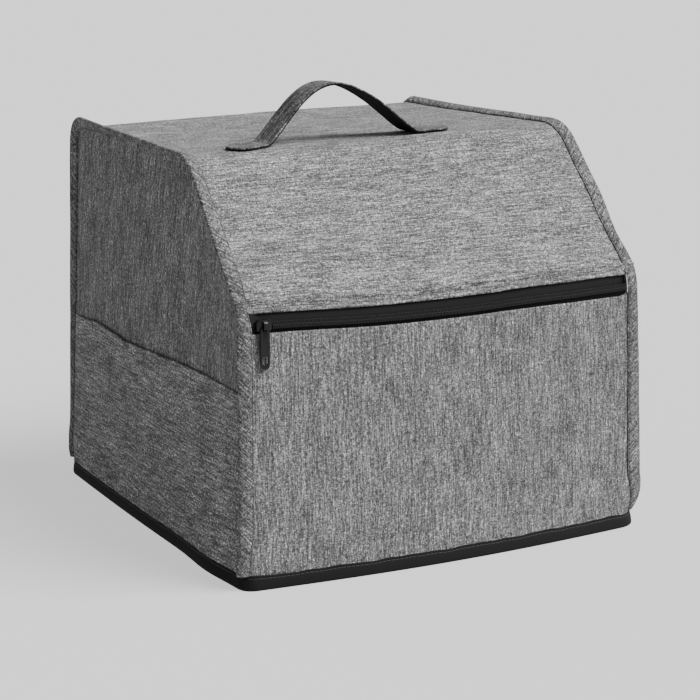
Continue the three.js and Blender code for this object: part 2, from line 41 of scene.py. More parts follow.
# The camera stands where the photograph was taken from, to the left of the front and a little
# above. Its place was found from the cover's own corners, in the part's frame.
PHOTO_PLACE = (-0.7943, -1.4757, 0.511)
PHOTO_DOWN = 12.54
PHOTO_TURN = -28.64
PHOTO_LENS = 96.95
bpy.ops.object.camera_add(
    location=PHOTO_PLACE, rotation=(radians(90 - PHOTO_DOWN), 0, radians(PHOTO_TURN)))
camera = bpy.context.object
camera.data.lens = PHOTO_LENS
bpy.context.scene.camera = camera

# A plain pale floor, which glows softly so that it stays pale, and soft studio light: a broad key
# from the front right and above, a weak one from behind, and an even pale surround that fills the
# shaded side.
FLOOR_SIZE = 60
FLOOR_GREY = (0.22, 0.22, 0.22, 1)
FLOOR_GLOW = 0.75
KEY_POWER = 9.7
BACK_POWER = 0.4
SURROUND_POWER = 0.4
bpy.ops.mesh.primitive_plane_add(size=FLOOR_SIZE)
floor = bpy.context.object
floor.name = "floor"
floor_look = bpy.data.materials.new("pale floor")
floor_look.use_nodes = True
floor_shader = floor_look.node_tree.nodes["Principled BSDF"]
floor_shader.inputs["Base Color"].default_value = FLOOR_GREY
floor_shader.inputs["Emission Color"].default_value = (1, 1, 1, 1)
floor_shader.inputs["Emission Strength"].default_value = FLOOR_GLOW
floor_shader.inputs["Roughness"].default_value = 1
floor_shader.inputs["Specular IOR Level"].default_value = 0
floor.data.materials.append(floor_look)

for name, power, spread, tilt_x, turn_z in (
    ("key light", KEY_POWER, 42, 42, 46),
    ("back light", BACK_POWER, 60, 55, 200),
):
    bpy.ops.object.light_add(type="SUN", rotation=(radians(tilt_x), 0, radians(turn_z)))
    lamp = bpy.context.object
    lamp.name = name
    lamp.data.energy = power
    lamp.data.angle = radians(spread)

surround = bpy.data.worlds.new("studio")
surround.use_nodes = True
surround.node_tree.nodes["Background"].inputs["Color"].default_value = (1, 1, 1, 1)
surround.node_tree.nodes["Background"].inputs["Strength"].default_value = SURROUND_POWER
bpy.context.scene.world = surround

# The two wrapping panels: stiff heathered canvas, sewn from flat cloth. One runs from the back hem
# over the top and down the slope to the zip, the other from the zip down to the front hem. Their
# edges at the zip are folded under, and their side edges turn out into the bindings.

# Their weave has yarns of two tones, so that short light and dark flecks run both ways. Its place
# comes from each piece's own flat layout, in metres, so it follows the cloth round every bend. The
# flecks, streaks and clouds are counted per metre along and across the weft.
THREAD = 0.0013
WEFT_FLECKS = (260, 1050)
WARP_FLECKS = (950, 420)
SLUB_STREAKS = (60, 800)
CLOUDS = (24, 40)
CLOUD_STRENGTH = 0.14
WARP_ON_TOP = 0.42
YARN_CROSSING = 0.8
WEAVE_RELIEF = 0.00012


def add_node(tree, kind, x, y, **settings):
    node = tree.nodes.new(kind)
    node.location = (x, y)
    for key, value in settings.items():
        setattr(node, key, value)
    return node


def math_node(tree, operation, x, y, first, second=None):
    node = add_node(tree, "ShaderNodeMath", x, y, operation=operation)
    for socket, value in zip(node.inputs, (first, second)):
        if isinstance(value, (int, float)):
            socket.default_value = value
        elif value is not None:
            tree.links.new(value, socket)
    return node.outputs[0]


def new_group(name, inputs, outputs):
    tree = bpy.data.node_groups.new(name, "ShaderNodeTree")
    for label, kind, value in inputs:
        socket = tree.interface.new_socket(label, in_out="INPUT", socket_type=kind)
        if value is not None:
            socket.default_value = value
    for label, kind in outputs:
        tree.interface.new_socket(label, in_out="OUTPUT", socket_type=kind)
    source = add_node(tree, "NodeGroupInput", -1400, 0)
    target = add_node(tree, "NodeGroupOutput", 800, 0)
    return tree, source, target


def fleck_noise(tree, source, per_metre, seed, x, y, detail):
    scale = add_node(tree, "ShaderNodeVectorMath", x, y, operation="MULTIPLY_ADD")
    tree.links.new(source.outputs["Place"], scale.inputs[0])
    scale.inputs[1].default_value = (*per_metre, 1)
    scale.inputs[2].default_value = (0, 0, seed)
    noise_node = add_node(tree, "ShaderNodeTexNoise", x + 200, y)
    noise_node.inputs["Scale"].default_value = 1
    noise_node.inputs["Detail"].default_value = detail
    noise_node.inputs["Roughness"].default_value = 0.62
    tree.links.new(scale.outputs[0], noise_node.inputs["Vector"])
    return noise_node.outputs["Fac"]


weave, weave_in, weave_out = new_group(
    "heathered weave",
    [
        ("Place", "NodeSocketVector", None),
        ("Contrast", "NodeSocketFloat", 1.0),
        ("Slub", "NodeSocketFloat", 0.2),
    ],
    [("Shade", "NodeSocketFloat"), ("Height", "NodeSocketFloat")],
)
split = add_node(weave, "ShaderNodeSeparateXYZ", -1200, -300)
weave.links.new(weave_in.outputs["Place"], split.inputs[0])
across = math_node(weave, "SINE", -800, -250, math_node(
    weave, "MULTIPLY", -1000, -250, split.outputs["X"], pi / THREAD))
upward = math_node(weave, "SINE", -800, -420, math_node(
    weave, "MULTIPLY", -1000, -420, split.outputs["Y"], pi / THREAD))
crossing = math_node(weave, "MULTIPLY", -600, -330, across, upward)
weft = fleck_noise(weave, weave_in, WEFT_FLECKS, 0, -1100, 300, 1.0)
warp = fleck_noise(weave, weave_in, WARP_FLECKS, 7.3, -1100, 60, 1.0)
slub = fleck_noise(weave, weave_in, SLUB_STREAKS, 5.7, -1100, 800, 0.5)
cloudy = fleck_noise(weave, weave_in, CLOUDS, 3.1, -1100, 560, 2.0)
share = math_node(weave, "MULTIPLY_ADD", -420, -150, crossing, YARN_CROSSING)
share.node.inputs[2].default_value = WARP_ON_TOP
share.node.use_clamp = True
fleck = add_node(weave, "ShaderNodeMix", 0, 150, data_type="FLOAT")
weave.links.new(share, fleck.inputs["Factor"])
weave.links.new(weft, fleck.inputs[2])
weave.links.new(warp, fleck.inputs[3])
streaks = math_node(weave, "MULTIPLY", 340, 150, math_node(
    weave, "SUBTRACT", 200, 600, slub, 0.5), weave_in.outputs["Slub"])
clouds = math_node(weave, "MULTIPLY", 480, 150, math_node(
    weave, "SUBTRACT", 340, 600, cloudy, 0.5), CLOUD_STRENGTH)
flecks = math_node(weave, "SUBTRACT", 200, 150, fleck.outputs[0], 0.5)
total = math_node(weave, "ADD", 480, 350, math_node(weave, "ADD", 340, 350, flecks, streaks), clouds)
shade = math_node(weave, "POWER", 620, 250, 2, math_node(
    weave, "MULTIPLY", 620, 400, total, weave_in.outputs["Contrast"]))
weave.links.new(shade, weave_out.inputs["Shade"])
weave.links.new(math_node(weave, "ADD", 0, -400, math_node(
    weave, "ABSOLUTE", -200, -400, crossing), fleck.outputs[0]), weave_out.inputs["Height"])


def woven_look(name, tone, bias=0, contrast=9, slub=0.38):
    """The canvas in one tone, its yarns turned by the bias in degrees."""
    look = bpy.data.materials.new(name)
    look.use_nodes = True
    tree = look.node_tree
    shader = tree.nodes["Principled BSDF"]
    shader.inputs["Roughness"].default_value = 0.93
    shader.inputs["Specular IOR Level"].default_value = 0.1
    layout = add_node(tree, "ShaderNodeUVMap", -1100, 0, uv_map="cloth")
    turned = add_node(tree, "ShaderNodeMapping", -900, 0)
    turned.inputs["Rotation"].default_value = (0, 0, radians(bias))
    tree.links.new(layout.outputs["UV"], turned.inputs["Vector"])
    pattern = add_node(tree, "ShaderNodeGroup", -650, 0, node_tree=weave)
    pattern.inputs["Contrast"].default_value = contrast
    tree.links.new(turned.outputs["Vector"], pattern.inputs["Place"])
    pattern.inputs["Slub"].default_value = slub
    tinted = math_node(tree, "MULTIPLY", -350, 100, pattern.outputs["Shade"], tone)
    tinted.node.use_clamp = True
    tree.links.new(tinted, shader.inputs["Base Color"])
    raised = add_node(tree, "ShaderNodeBump", -350, -200)
    raised.inputs["Strength"].default_value = 0.7
    raised.inputs["Distance"].default_value = WEAVE_RELIEF
    tree.links.new(pattern.outputs["Height"], raised.inputs["Height"])
    tree.links.new(raised.outputs["Normal"], shader.inputs["Normal"])
    return look


# Their cut follows the two side seams, which the side panels share. Each row is a place on a seam,
# from the back hem over the top to the front hem, in millimetres as the part was drawn: its
# rounding, the spans that lead to it, the turn of the bound lip, the lip's width, how far the
# panel runs into it, and how far the cloth between the seams stands out. A sag of the zip, two for
# its upper edge and one for its lower, has a depth, a middle, a reach and a steepness.
MIDDLE = np.array((1.1, 2.4, 0.0))
MILLIMETRE = 0.001
PANEL = 1.2
RIM_SHARE = 0.3
GAP = 0.35
PANEL_FOOT = 1.4
HEM_HEIGHT = 12
ZIP_TOP = 223
ZIP_BOTTOM = 206.7
ZIP_SAGS = ((-5, -25, 110, 3), (-1.2, 115, 30, 2), (-3.8, -20, 105, 3))
RIGHT_END_DROP = 2.3
DROP_FROM_X = 50
DROP_OVER = 70
SAG_FADES_UP = 40
SAG_FADES_DOWN = 60
SAG_ENDS_X = 178
SAG_ENDS_OVER = 5
SAG_BEFORE_Y = -100
ROUND_UNTIL = 13
SHARP_FROM = 45
CORNER_INSET = 1 - sqrt(0.5)
FINER = 8
SEAM_LEFT = (
    (-186.5, 206, PANEL_FOOT, 0, 0, 60, 8.8, 0.4, 4),
    (-185.4, 205.6, 13, 0, 1, 60, 8.8, 0.4, 4),
    (-183.9, 205.1, 22, 0, 1, 72, 9.6, 4.2, 4),
    (-182.5, 204.6, 30, 0, 1, 82, 9.8, 6.7, 4),
    (-180, 203.5, 45, 0, 1, 89, 10.6, 8.7, 4),
    (-172.5, 188, 333.5, 15, 4, 64, 11, 9.7, 1),
    (-173, 105, 334, 0, 2, 38, 11, 9.7, -1.5),
    (-174, -81, 331.5, 20, 4, 14, 11, 9.7, -1.5),
    (-178, -189.5, 225, 14, 4, 2, 12, 10.7, 6),
    (-180.7, -192.5, 45, 0, 4, 0, 11, 9.7, 9),
    (-183.5, -192.7, 30, 0, 1, 0, 11, 9.7, 9.5),
    (-184.8, -192.8, 22, 0, 1, 0, 10.8, 9.5, 10),
    (-186.2, -192.9, 13, 0, 1, 0, 10.2, 0.4, 10.5),
    (-188, -193, PANEL_FOOT, 0, 1, 0, 10.2, 0.4, 10.5),
)
SEAM_RIGHT = (
    (189, 206, PANEL_FOOT, 0, 0, 30, 5, 0.4, 0),
    (188, 205.6, 13, 0, 1, 30, 5, 0.4, 0),
    (186.9, 205, 22, 0, 1, 30, 8, 6.7, 0),
    (186, 204.6, 30, 0, 1, 30, 10, 8.7, 0),
    (184, 203.5, 45, 0, 1, 30, 11, 9.7, 0),
    (172.5, 188, 342, 15, 4, 30, 11, 9.7, 0),
    (173.5, 105, 341, 0, 2, 22, 11, 9.7, 0),
    (174.5, -83, 342.5, 20, 4, 14, 11, 9.7, 0),
    (176.2, -136.2, 283.8, 0, 2, 10, 11.4, 10.1, 0),
    (175.8, -163.5, 253.7, 0, 1, 8, 8.8, 7.5, 0),
    (179, -189.5, 225, 14, 1, 6, 9.8, 8.5, 0),
    (183, -193.5, 45, 0, 4, 0, 13.4, 12.1, 0),
    (187.6, -195.5, 30, 0, 1, 0, 9.6, 8.3, 0),
    (189.3, -196.6, 22, 0, 1, 0, 8.6, 7.3, 0),
    (191.2, -197.8, 13, 0, 1, 0, 4, 0.4, 0),
    (193, -199, PANEL_FOOT, 0, 1, 0, 4, 0.4, 0),
)
EASE_PASSES = 12
LIP_CURL = 34
CURL_FROM = -100
CURL_OVER = 80
CURL_MOST = 1.2
LEFT_ROUND = (18, 8)
RIGHT_ROUND = (20, 20)


def unit(vectors):
    return vectors / np.linalg.norm(vectors, axis=-1, keepdims=True)


def round_share(z):
    return np.clip((SHARP_FROM - z) / (SHARP_FROM - ROUND_UNTIL), 0, 1) ** 2


def seam_run(rows, side, rounds):
    """Stations along a seam: places, the ways of the cloth and of its lip, and the rows' sizes."""
    rows = np.array(rows, float)
    spots, eases, steps, facts = rows[:, :3], rows[:, 3], rows[:, 4], rows[:, 5:]
    points, values = [spots[0]], [facts[0]]
    start = spots[0]
    for i in range(1, len(rows)):
        end = spots[i] + unit(spots[i - 1] - spots[i]) * eases[i]
        count = int(steps[i] * FINER)
        for t in np.arange(1, count + 1) / count:
            points.append(start + (end - start) * t)
            values.append(facts[i - 1] + (facts[i] - facts[i - 1]) * t)
        start = end
        if eases[i]:
            away = spots[i] + unit(spots[i + 1] - spots[i]) * eases[i]
            for t in np.arange(1, 2 * FINER + 1) / (2 * FINER):
                points.append(end * (1 - t) ** 2 + spots[i] * 2 * t * (1 - t) + away * t * t)
                values.append(facts[i])
            start = away
    points, values = np.array(points), np.array(values)
    for _ in range(EASE_PASSES):
        values[1:-1] = (values[:-2] + 2 * values[1:-1] + values[2:]) / 4
    inset = CORNER_INSET * np.where(points[:, 1] > 0, *rounds) * round_share(points[:, 2])
    points[:, 0] -= side * inset
    points[:, 1] -= np.sign(points[:, 1]) * inset
    along = np.gradient(points, axis=0)
    out = unit(np.stack([np.zeros(len(points)), along[:, 2], -along[:, 1]], 1))
    turn = np.radians(values[:, :1])
    sideways = np.array((side, 0, 0))
    curl = np.radians(LIP_CURL) * np.clip((CURL_FROM - points[:, 1:2]) / CURL_OVER, 0, 1) * (side < 0)
    return {
        "p": points, "out": out, "turn": turn, "lip": values[:, 1:2], "tuck": values[:, 2:3],
        "bow": values[:, 3:4], "curl": curl,
        "lip_way": sideways * np.cos(turn) + out * np.sin(turn),
        "lip_out": -sideways * np.sin(turn) + out * np.cos(turn),
    }


def cut_at(run, z, above):
    """The stations above or below a height, on the run's way down at its end."""
    heights = run["p"][:, 2]
    last = len(heights) - 1
    while heights[last - 1] <= z:
        last -= 1
    t = (heights[last - 1] - z) / (heights[last - 1] - heights[last])
    cut = {}
    for key, value in run.items():
        edge = (value[last - 1] * (1 - t) + value[last] * t)[None]
        cut[key] = np.concatenate([value[:last], edge] if above else [edge, value[last:]])
    return cut


def lip_spot(run, reach, height=0.0):
    """A place on or off the bound lip, and the way off it. The left lip curls back at its edge."""
    bend = run["curl"] * np.clip(reach / run["lip"], 0, CURL_MOST)
    off = run["lip_way"] * np.sin(bend) + run["lip_out"] * np.cos(bend)
    start = run["lip_way"] * np.cos(bend / 2) - run["lip_out"] * np.sin(bend / 2)
    return run["p"] + start * reach + off * height, off


def corner_swell(width, share, rounds, z):
    """How far the cloth beside a rounded corner at the foot stands out past its chord."""
    def ramp(reach):
        left = np.clip(sqrt(0.5) - reach, 0, sqrt(0.5))
        return 1 - (1 - np.sqrt(1 - left * left)) / CORNER_INSET
    first = (1 - share) * rounds[0] * ramp(share * width / rounds[0])
    second = share * rounds[1] * ramp((1 - share) * width / rounds[1])
    return round_share(z) * CORNER_INSET * (first + second)


def between_seams(left, right, shares, inward=0.0):
    """The wrapping cloth between stations of the two seams, one row of points for each."""
    s = np.atleast_1d(np.asarray(shares, float))
    s = (s if s.ndim == 2 else s[None, :])[..., None]
    p = left["p"][:, None] * (1 - s) + right["p"][:, None] * s
    out = unit(left["out"][:, None] * (1 - s) + right["out"][:, None] * s)
    width = (right["p"][:, None, :1] - left["p"][:, None, :1])
    at_back = p[..., 1:2] > 0
    rounds = [np.where(at_back, LEFT_ROUND[0], LEFT_ROUND[1]),
              np.where(at_back, RIGHT_ROUND[0], RIGHT_ROUND[1])]
    swell = corner_swell(width, s, rounds, p[..., 2:3])
    return p + out * (left["bow"][:, None] * np.sin(pi * s) + swell - inward)


def along_zip(points):
    """The zip isn't straight: both cloth edges sag in the middle, the lower one less, and the
    lower one stays down at the right-hand end. The cloth above and below follows less and less."""
    x, y, z = np.moveaxis(points, -1, 0)
    sags = [
        depth * np.exp(-np.abs((x - middle) / reach) ** steepness)
        for depth, middle, reach, steepness in ZIP_SAGS
    ]
    upper = sags[0] + sags[1]
    lower = sags[2] - RIGHT_END_DROP * np.clip((x - DROP_FROM_X) / DROP_OVER, 0, 1)
    height = np.clip((z - ZIP_BOTTOM) / (ZIP_TOP - ZIP_BOTTOM), 0, 1)
    past_top = np.clip(z - ZIP_TOP, 0, None) / SAG_FADES_UP
    past_bottom = np.clip(ZIP_BOTTOM - z, 0, None) / SAG_FADES_DOWN
    fading = np.exp(-past_top ** 2 - past_bottom ** 2)
    seam_free = np.clip((SAG_ENDS_X - x) / SAG_ENDS_OVER, 0, 1)
    sag = (lower + (upper - lower) * height) * fading * seam_free * (y < SAG_BEFORE_Y)
    return points + np.stack([0 * x, 0 * x, sag], -1)


def smooth_noise(places, size, seed):
    """Soft waves about as long as size, from about -1 to 1."""
    rng = np.random.default_rng(seed)
    count = 9
    total = np.zeros(places.shape[:-1])
    for _ in range(count):
        angle, phase, stretch = rng.uniform(0, pi), rng.uniform(0, 2 * pi), rng.uniform(0.6, 1.6)
        way = np.array((cos(angle), sin(angle))) / (size * stretch)
        total += np.sin(2 * pi * places @ way + phase)
    return total / sqrt(count)


def soft_waves(flat, waves, seed):
    """The unevenness of a cloth, from rows of a wave's height and its size."""
    return sum(high * smooth_noise(flat, size, seed + k) for k, (high, size) in enumerate(waves))


def lengths_along(points, axis):
    steps = np.linalg.norm(np.diff(points, axis=axis), axis=-1)
    start = np.zeros_like(np.take(steps, [0], axis))
    return np.concatenate([start, np.cumsum(steps, axis)], axis)


def flat_layout(grid):
    """Where the points of a grid lie when the cloth is laid flat."""
    across = lengths_along(grid, 1)
    upward = lengths_along(grid, 0).mean(1)
    return np.stack([across - across[:, -1:] / 2, np.repeat(upward[:, None], grid.shape[1], 1)], 2)


def grid_normals(grid):
    return unit(np.cross(np.gradient(grid, axis=0), np.gradient(grid, axis=1)))


def mesh_piece(name, points, faces, places, look):
    """A mesh in metres in the part's frame, with the cloth's flat layout as its UV map."""
    mesh = bpy.data.meshes.new(name)
    mesh.from_pydata(((points - MIDDLE) * MILLIMETRE).tolist(), [], faces)
    layer = mesh.uv_layers.new(name="cloth")
    corners = np.array([vertex for face in faces for vertex in face])
    layer.data.foreach_set("uv", (places[corners] * MILLIMETRE).astype(np.float32).ravel())
    mesh.materials.append(look)
    piece = bpy.data.objects.new(name, mesh)
    bpy.context.scene.collection.objects.link(piece)
    bpy.context.view_layer.objects.active = piece
    piece.select_set(True)
    bpy.ops.object.mode_set(mode="EDIT")
    bpy.ops.mesh.select_all(action="SELECT")
    bpy.ops.mesh.remove_doubles(threshold=0.000001)
    bpy.ops.mesh.normals_make_consistent(inside=False)
    bpy.ops.object.mode_set(mode="OBJECT")
    bpy.ops.object.shade_smooth_by_angle(angle=radians(50))
    piece.select_set(False)
    return piece


def ring_faces(rows, size, looped):
    index = np.arange(rows * size).reshape(rows, size)
    if looped:
        index = np.concatenate([index, index[:1]])
    around = [index[:-1, :-1], index[:-1, 1:], index[1:, 1:], index[1:, :-1]]
    faces = np.stack(around, -1).reshape(-1, 4).tolist()
    if not looped:
        faces += [index[0, :-1].tolist(), index[-1, :-1].tolist()]
    return faces


def cloth_sheet(name, grid, look, thickness=PANEL):
    """A sheet of cloth round a grid of points in its middle, with rounded side edges."""
    normals = grid_normals(grid)
    layout = flat_layout(grid)
    rim = unit(np.gradient(grid, axis=1)) * thickness * RIM_SHARE
    outer = grid + normals * thickness / 2
    inner = grid - normals * thickness / 2
    ring = np.concatenate([(grid - rim)[:, :1], outer, (grid + rim)[:, -1:], inner[:, ::-1]], 1)
    places = np.concatenate([layout[:, :1], layout, layout[:, -1:], layout[:, ::-1]], 1)
    ring = np.concatenate([ring, ring[:, :1]], 1)
    places = np.concatenate([places, places[:, :1]], 1)
    rows, size = ring.shape[:2]
    faces = ring_faces(rows, size, False)[:-2]
    count = grid.shape[1]
    for start in (0, (rows - 1) * size):
        faces.append([start, start + 1, start + 2 * count + 1])
        faces.append([start + count, start + count + 1, start + count + 2])
        for j in range(1, count):
            far = start + 2 * count + 1 - j
            faces.append([start + j, start + j + 1, far, far + 1])
    return mesh_piece(name, ring.reshape(-1, 3), faces, places.reshape(-1, 2), look)


def turned_under(grid, out, onward):
    """The grid with its last edge folded under, away from out, and laid back behind the cloth."""
    edge = grid[-1]
    rows = []
    for angle in np.linspace(0, pi, 7)[1:]:
        rows.append(edge + onward * FOLD_ROUND * sin(angle) - out * FOLD_ROUND * (1 - cos(angle)))
    for reach in FOLD_TUCK:
        rows.append(edge - out * 2 * FOLD_ROUND - onward * reach)
    return np.concatenate([grid, np.array(rows)])


# The panels themselves, with soft waves in the cloth, closer points near the seams, and the
# rounding of the folded edges and how far they are laid back behind the cloth.
WRAP_WAVES = ((0.4, 115), (0.13, 36))
LIP_REACHES = (0.25, 0.5, 0.75, 1.0)
FOLD_ROUND = 0.65
FOLD_TUCK = (3, 6, 9)
SHARES = np.concatenate([
    [0, 0.003, 0.008, 0.015, 0.025, 0.04], np.linspace(0.06, 0.94, 56),
    [0.96, 0.975, 0.985, 0.992, 0.997, 1]])
heather = woven_look("heathered grey cloth", 0.102)
# A copy of the canvas with upright yarns, for the front and side panels. It is also darker than the
# wrap's cloth: painted shade.
heather_upright_painted_shade = woven_look("heathered grey cloth, upright yarns", 0.091, 90, 8.4)
left_run = seam_run(SEAM_LEFT, -1, LEFT_ROUND)
right_run = seam_run(SEAM_RIGHT, 1, RIGHT_ROUND)


def wrapping_cloth(left, right, seed):
    """The wrapping cloth with its soft unevenness, and without the lips in the bindings."""
    grid = between_seams(left, right, SHARES)
    flat = flat_layout(grid)
    free = np.sin(pi * SHARES) ** 0.5 * (1 - round_share(grid[..., 2]))
    wave = soft_waves(flat, WRAP_WAVES, seed)
    return along_zip(grid - grid_normals(grid) * (wave * free)[..., None])


def with_lips(grid, left, right):
    lips = [
        np.stack([lip_spot(run, run["tuck"] * share)[0] for share in LIP_REACHES], 1)
        for run in (left, right)
    ]
    return np.concatenate([lips[0][:, ::-1], grid, lips[1]], 1)


above = [cut_at(run, ZIP_TOP + FOLD_ROUND, True) for run in (left_run, right_run)]
below = [cut_at(run, ZIP_BOTTOM - FOLD_ROUND, False) for run in (left_run, right_run)]
back_and_top = wrapping_cloth(*above, 11)
lower_front = wrapping_cloth(*below, 21)
DOWN = np.array((0, 0, -1.0))
FORWARD = np.array((0, -1.0, 0))
wrap_grid = turned_under(with_lips(back_and_top, *above), FORWARD, DOWN)
front_grid = turned_under(with_lips(lower_front, *below)[::-1], FORWARD, -DOWN)
for name, grid, node, look in (
    ("wrap_panel_cloth", wrap_grid, "wrap_panel", heather),
    # The front panel gets the darker copy of the canvas: painted shade.
    ("front_panel_cloth", front_grid, "front_panel", heather_upright_painted_shade),
):
    panel = cloth_sheet(name, grid, look)
    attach(panel, "root")
    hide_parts(node)

# The side panels: one piece of the same canvas in each side, its yarns upright. Each is sewn into
# one side seam and the hem, and stands out a little between its edges. The left one also bulges
# at its foot, near the front.
SIDE_BOW = 3
SIDE_WAVES = ((0.5, 120), (0.15, 40))
UPRIGHT_SPANS = 8
FOOT_BULGE = {"side_panel_left": 3.6, "side_panel_right": 0}
BULGE_Y = -130
BULGE_REACH = 38
side_grids = {}
for name, run, side, rounds, seed in (
    ("side_panel_left", left_run, -1, LEFT_ROUND, 31),
    ("side_panel_right", right_run, 1, RIGHT_ROUND, 41),
):
    uprights = UPRIGHT_SPANS * FINER
    edge = run["p"] - run["out"] * (PANEL / 2 + GAP)
    edge[:, 2] = np.maximum(edge[:, 2], PANEL_FOOT)
    rear, fore = edge[:uprights + 1, None], edge[:-uprights - 2:-1, None]
    top = edge[uprights:len(edge) - uprights]
    shares = lengths_along(top, 0)
    shares = (shares / shares[-1])[None, :, None]
    rise = (rear[..., 2:] - rear[0, 0, 2]) / (rear[-1, 0, 2] - rear[0, 0, 2])
    chord = rear[-1] * (1 - shares[0]) + fore[-1] * shares[0]
    grid = rear * (1 - shares) + fore * shares + (top - chord) * rise
    depth = rear[0, 0, 1] - fore[0, 0, 1]
    swell = corner_swell(depth, shares, rounds, grid[..., 2:])
    bow = swell + SIDE_BOW * np.sin(pi * shares) * (1 - rise ** 2)
    bulge = np.exp(-((grid[..., 1:2] - BULGE_Y) / BULGE_REACH) ** 2) * (1 - rise) ** 6
    bow = bow + FOOT_BULGE[name] * bulge
    flat = flat_layout(grid)
    free = np.sin(pi * shares[..., 0]) ** 0.5 * (1 - round_share(grid[..., 2]))
    free = free * np.minimum(1, 6 * (1 - rise[..., 0]))
    wave = soft_waves(flat, SIDE_WAVES, seed)
    grid[..., 0] += side * (bow[..., 0] + wave * free)
    side_grids[name] = grid
    # The side panels get the darker copy of the canvas: painted shade.
    panel = cloth_sheet(name + "_cloth", grid, heather_upright_painted_shade)
    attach(panel, "root")
    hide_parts(name)

# The side pocket: a wide flat pocket of the same canvas over the lower half of the left panel. It
# is caught in the two upright seams and the hem, and gapes at its uneven mouth, which is folded in.
# The mouth's rows are places along it and how far it dips or rises there.
POCKET_TOP = 156.5
POCKET_LEVELS = 56
POCKET_WAVES = ((0.5, 90), (0.15, 34))
POCKET_OFF = 1.3
POCKET_LOOSE = 0.4
MOUTH_LOOSE = 0.5
LOOSE_FROM_ENDS = 0.04
POCKET_SLACK = 1.2
POCKET_ENDS = (0.6, 1.5)
MOUTH_EASE_PASSES = 6
POCKET_MOUTH = (
    (-200, -2.4), (-185, -1.8), (-120, 0.6), (-75, 1.4), (-30, 0.5), (20, -1.4), (62, -3.1),
    (100, -0.6), (130, 1.5), (152, 0.6), (178, -1.8), (200, -2),
)
pocket_panel = side_grids["side_panel_left"]
ends = np.linspace(0, 0.1, 14)[:-1]
share = np.concatenate([ends, np.linspace(0.1, 0.9, 70), 1 - ends[::-1]])
loose = np.clip(np.minimum(share, 1 - share) / LOOSE_FROM_ENDS, 0, 1)
pocket_rows = []
for z in np.linspace(HEM_HEIGHT + GAP, POCKET_TOP - FOLD_ROUND, POCKET_LEVELS):
    rise = max(z - HEM_HEIGHT - GAP, 0) / (POCKET_TOP - HEM_HEIGHT - GAP)
    line = np.array([
        [np.interp(z, column[:, 2], column[:, axis]) for axis in range(3)]
        for column in np.moveaxis(pocket_panel, 1, 0)
    ])
    reach = lengths_along(line, 0)
    places = POCKET_ENDS[0] + (reach[-1] - sum(POCKET_ENDS)) * share
    behind, spots, ahead = (
        np.stack([np.interp(places + step, reach, line[:, axis]) for axis in range(3)], 1)
        for step in (-0.5, 0, 0.5)
    )
    way = ahead - behind
    away = unit(np.stack([way[:, 1], -way[:, 0], 0 * way[:, 2]], 1))
    slack = POCKET_SLACK * rise ** 0.8 * np.sin(pi * share ** 0.62)
    off = POCKET_OFF + (POCKET_LOOSE + MOUTH_LOOSE * rise ** 8) * loose + slack
    lift = np.interp(spots[:, 1], *zip(*POCKET_MOUTH)) * rise ** 3
    pocket_rows.append(spots + away * off[:, None] + np.stack([0 * lift, 0 * lift, lift], 1))
pocket_grid = np.array(pocket_rows)
pocket_flat = flat_layout(pocket_grid)
pocket_rise = np.linspace(0, 1, len(pocket_grid))[:, None]
pocket_free = np.sin(pi * share)[None, :] ** 0.5 * pocket_rise ** 0.5
pocket_grid[..., 0] -= soft_waves(pocket_flat, POCKET_WAVES, 51) * pocket_free
pocket_edge_way = unit(np.gradient(pocket_grid[-1], axis=0))
pocket_out = np.stack(
    [pocket_edge_way[:, 1], -pocket_edge_way[:, 0], 0 * pocket_edge_way[:, 2]], 1)
pocket_mouth = pocket_grid[-1].copy()
for _ in range(MOUTH_EASE_PASSES):
    pocket_mouth[1:-1] = (pocket_mouth[:-2] + 2 * pocket_mouth[1:-1] + pocket_mouth[2:]) / 4
pocket_grid[-1] = pocket_mouth
pocket_grid = turned_under(pocket_grid, pocket_out, -DOWN)
# The pocket's copy of the canvas has level yarns and a lighter tone than the side panel under it:
# painted light.
heather_level_painted_light = woven_look("heathered grey cloth, level yarns, lighter as painted light", 0.105, 0, 9)
pocket = cloth_sheet("side_pocket_cloth", pocket_grid, heather_level_painted_light)
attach(pocket, "root")
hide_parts("side_pocket")

# The side bindings: strips of the same canvas cut on the bias, folded over the lips of the two side
# seams and sewn through near their edges with dark thread, so they swell a little between the
# stitches and the fold. Half of a strip's section is given from its edge past the stitches.
BINDING_EDGE = (
    (0.1, 0.92), (-0.12, 1.25), (0, 1.62), (0.25, 1.8), (0.5, 1.8), (0.75, 1.55), (1.05, 1.55),
    (1.5, 1.88),
)
BINDING_HALF = 1.95
BINDING_SWELL = 0.22
BINDING_TIP = 1.5
BINDING_TIP_ARC = 75
FOLD_INSIDE = ((-0.1, -0.92), (0.3, -0.4), (0.3, 0.4), (-0.1, 0.92))
FRONT_EDGE = -0.3
REAR_EDGE = 1.35
REAR_EDGE_DRAWN = 0.8
EDGE_WAVER = 0.25
EDGE_WAVE_LONG = 55
LEG_FROM = 1.7
LEG_SHARES = (0.15, 0.35, 0.55, 0.75, 0.95)
SEWN_IN = 0.9
SEWN_HEIGHT = 1.58
THREAD_ROUND = 0.28
THREAD_PRESSED = 0.7
# The stitches are long and close, nearly end to end. In the bindings' grooves the dark thread
# therefore also stands in for the groove's shadow: real thread, partly painted shade.
STITCH_LONG = 3.5
STITCH_APART = 4.0
BINDING_ABOVE_HEM = 0.6
SLANT_AT_ZIP = 3.4
SLANT_ABOVE = 2
SLANT_REACH = 13
